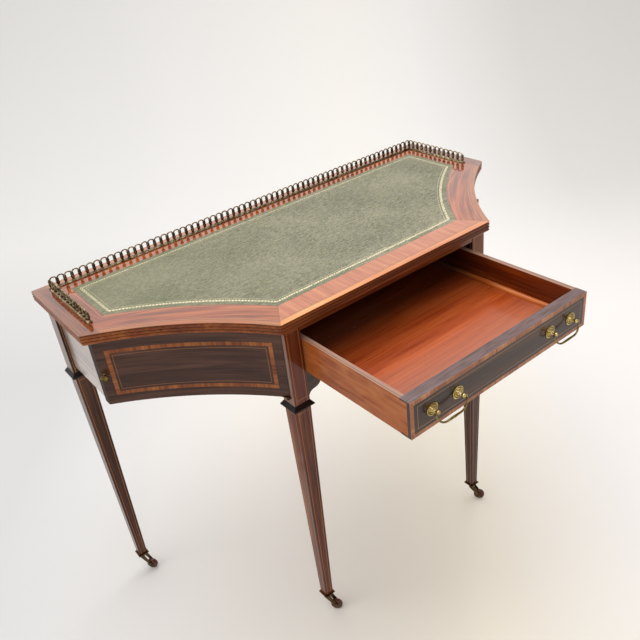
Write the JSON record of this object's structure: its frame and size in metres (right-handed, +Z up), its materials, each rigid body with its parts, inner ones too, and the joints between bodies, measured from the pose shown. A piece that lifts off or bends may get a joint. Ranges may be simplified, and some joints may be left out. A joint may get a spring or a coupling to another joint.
{
  "type": "writing table",
  "caption": "Writing table with a leather-lined top, a low brass gallery, a frieze drawer, concave corner cupboards and tapered legs on castors.",
  "frame": {"origin": "On the floor, under the middle of the bounding box, with the drawer open as pictured.", "axes": "+X is to the right of a person at the front, +Y is towards the back, +Z is up."},
  "size_m": [1.04, 0.7572, 0.793],
  "materials": {
    "top_veneer": "polished rosewood crossbanding, French polished",
    "edge_wood": "polished reeded edge",
    "desk_leather": "aged grey-green hide with gold tooled lines",
    "gallery_brass": "dark aged brass",
    "small_brass": "aged brass",
    "leg_wood": "polished rosewood with thin stringing",
    "ebonised_wood": "ebonised",
    "case_wood": "polished rosewood veneer",
    "carcass_wood": "unpolished secondary wood",
    "front_veneer": "dark figured veneer, French polished",
    "banding_wood": "kingwood crossbanding",
    "handle_brass": "aged polished brass",
    "hinge_brass": "aged brass",
    "drawer_mahogany": "waxed mahogany",
    "castor_brass": "dark patinated brass",
    "castor_ceramic": "brown glazed ceramic"
  },
  "bodies": {
    "table": {"top_board": "edge_wood", "top_underboard": "edge_wood", "top_crossbanding": "top_veneer", "leather_skiver": "desk_leather", "gallery_back": "gallery_brass", "gallery_left": "gallery_brass", "gallery_right": "gallery_brass", "gallery_pins": "small_brass", "leg_front_left": "leg_wood", "leg_front_right": "leg_wood", "leg_back_left": "leg_wood", "leg_back_right": "leg_wood", "leg_collars": "ebonised_wood", "collar_beads": "leg_wood", "back_panel": "case_wood", "side_panel_left": "case_wood", "side_panel_right": "case_wood", "partition_left": "carcass_wood", "partition_right": "carcass_wood", "cupboard_floor_left": "carcass_wood", "cupboard_floor_right": "carcass_wood", "top_rail": "edge_wood", "kicker_rail": "carcass_wood", "drawer_rail": "case_wood", "rail_brackets": "case_wood", "drawer_runners": "carcass_wood", "drawer_kickers": "carcass_wood", "drawer_stops": "carcass_wood", "hinge_leg_leaves": "hinge_brass", "castor_plates": "castor_brass", "castor_screws": "small_brass"},
    "door_left": {"door_left": "front_veneer", "door_left_crossband": "banding_wood", "door_left_knob": "handle_brass", "door_left_hinge_leaves": "hinge_brass"},
    "door_right": {"door_right": "front_veneer", "door_right_crossband": "banding_wood", "door_right_knob": "handle_brass", "door_right_hinge_leaves": "hinge_brass"},
    "drawer": {"drawer_front": "front_veneer", "drawer_front_banding": "banding_wood", "drawer_side_left": "drawer_mahogany", "drawer_side_right": "drawer_mahogany", "drawer_back": "drawer_mahogany", "drawer_bottom": "drawer_mahogany", "drawer_slips": "drawer_mahogany", "handle_roses": "handle_brass", "handle_posts": "handle_brass", "handle_nuts": "small_brass"},
    "bail_left": {"bail_left": "handle_brass"},
    "bail_right": {"bail_right": "handle_brass"},
    "swivel_front_left": {"castor_horn_front_left": "castor_brass"},
    "wheel_front_left": {"castor_wheel_front_left": "castor_ceramic"},
    "swivel_front_right": {"castor_horn_front_right": "castor_brass"},
    "wheel_front_right": {"castor_wheel_front_right": "castor_ceramic"},
    "swivel_back_left": {"castor_horn_back_left": "castor_brass"},
    "wheel_back_left": {"castor_wheel_back_left": "castor_ceramic"},
    "swivel_back_right": {"castor_horn_back_right": "castor_brass"},
    "wheel_back_right": {"castor_wheel_back_right": "castor_ceramic"}
  },
  "joints": [
    {"name": "drawer_slide", "type": "slide", "parent": "table", "child": "drawer", "axis": [0, -1, 0], "range_m": [-0.264, 0.08]},
    {"name": "door_left_hinge", "type": "hinge", "parent": "table", "child": "door_left", "pos_m": [-0.2593, -0.08241, 0.674], "axis": [0, 0, 1], "range_deg": [0, 95]},
    {"name": "door_right_hinge", "type": "hinge", "parent": "table", "child": "door_right", "pos_m": [0.2593, -0.08241, 0.674], "axis": [0, 0, -1], "range_deg": [0, 95]},
    {"name": "bail_left_hinge", "type": "hinge", "parent": "drawer", "child": "bail_left", "pos_m": [-0.1455, -0.36981, 0.683], "axis": [-1, 0, 0], "range_deg": [-40, 83]},
    {"name": "bail_right_hinge", "type": "hinge", "parent": "drawer", "child": "bail_right", "pos_m": [0.1455, -0.36981, 0.683], "axis": [-1, 0, 0], "range_deg": [-40, 83]},
    {"name": "castor_front_left_swivel", "type": "hinge", "parent": "table", "child": "swivel_front_left", "pos_m": [-0.2378, -0.07641, 0.045], "axis": [0, 0, 1], "continuous": true},
    {"name": "castor_front_left_roll", "type": "hinge", "parent": "swivel_front_left", "child": "wheel_front_left", "pos_m": [-0.22584, -0.09118, 0.013], "axis": [0.7771, 0.6293, 0], "continuous": true},
    {"name": "castor_front_right_swivel", "type": "hinge", "parent": "table", "child": "swivel_front_right", "pos_m": [0.2378, -0.07641, 0.045], "axis": [0, 0, 1], "continuous": true},
    {"name": "castor_front_right_roll", "type": "hinge", "parent": "swivel_front_right", "child": "wheel_front_right", "pos_m": [0.24976, -0.09118, 0.013], "axis": [0.7771, 0.6293, 0], "continuous": true},
    {"name": "castor_back_left_swivel", "type": "hinge", "parent": "table", "child": "swivel_back_left", "pos_m": [-0.4935, 0.32459, 0.045], "axis": [0, 0, 1], "continuous": true},
    {"name": "castor_back_left_roll", "type": "hinge", "parent": "swivel_back_left", "child": "wheel_back_left", "pos_m": [-0.48154, 0.30982, 0.013], "axis": [0.7771, 0.6293, 0], "continuous": true},
    {"name": "castor_back_right_swivel", "type": "hinge", "parent": "table", "child": "swivel_back_right", "pos_m": [0.4935, 0.32459, 0.045], "axis": [0, 0, 1], "continuous": true},
    {"name": "castor_back_right_roll", "type": "hinge", "parent": "swivel_back_right", "child": "wheel_back_right", "pos_m": [0.50546, 0.30982, 0.013], "axis": [0.7771, 0.6293, 0], "continuous": true}
  ]
}
